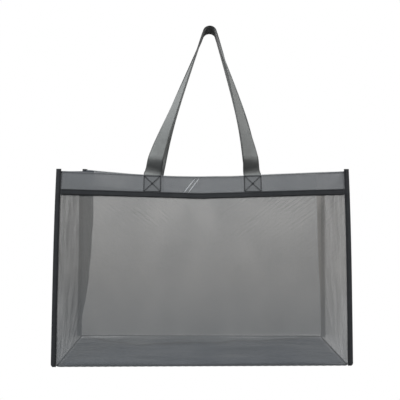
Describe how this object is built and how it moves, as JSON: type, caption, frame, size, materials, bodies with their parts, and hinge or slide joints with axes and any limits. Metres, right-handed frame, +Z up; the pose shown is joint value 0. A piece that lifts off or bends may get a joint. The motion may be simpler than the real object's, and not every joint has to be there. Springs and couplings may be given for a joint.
{
  "type": "mesh beach tote bag",
  "caption": "Wide see-through mesh tote with a flat base, tucked side gussets, bound corners, taped hem and webbing handles that fold down.",
  "frame": {"origin": "middle of the base, on the surface that the bag stands on", "axes": "+Z up, -Y is the front, +X is the bag's right as seen from the front"},
  "size_m": [0.5, 0.1828, 0.5941],
  "materials": {
    "mesh": "sheer open-weave nylon mesh, slight sheen",
    "tape": "dark ribbed binding tape, matte",
    "webbing": "grey woven webbing, slight sheen",
    "thread": "dark sewing thread"
  },
  "bodies": {
    "bag": {"front_panel": "mesh", "back_panel": "mesh", "bottom_panel": "mesh", "left_gusset": "mesh", "right_gusset": "mesh", "front_hem_tape": "tape", "back_hem_tape": "tape", "left_hem_tape": "tape", "right_hem_tape": "tape", "front_left_binding": "tape", "front_right_binding": "tape", "back_left_binding": "tape", "back_right_binding": "tape", "front_bottom_seam": "tape", "back_bottom_seam": "tape", "left_bottom_seam": "tape", "right_bottom_seam": "tape", "front_handle_left_end": "webbing", "front_handle_right_end": "webbing", "back_handle_left_end": "webbing", "back_handle_right_end": "webbing", "front_box_stitches": "thread", "back_box_stitches": "thread"},
    "front_loop": {"front_handle": "webbing"},
    "back_loop": {"back_handle": "webbing"}
  },
  "joints": [
    {"name": "front_handle_fold", "type": "hinge", "parent": "bag", "child": "front_loop", "pos_m": [0, -0.06644, 0.3176], "axis": [1, 0, 0], "range_deg": [0, 165]},
    {"name": "back_handle_fold", "type": "hinge", "parent": "bag", "child": "back_loop", "pos_m": [0, 0.06718, 0.3179], "axis": [-1, 0, 0], "range_deg": [0, 165]}
  ]
}
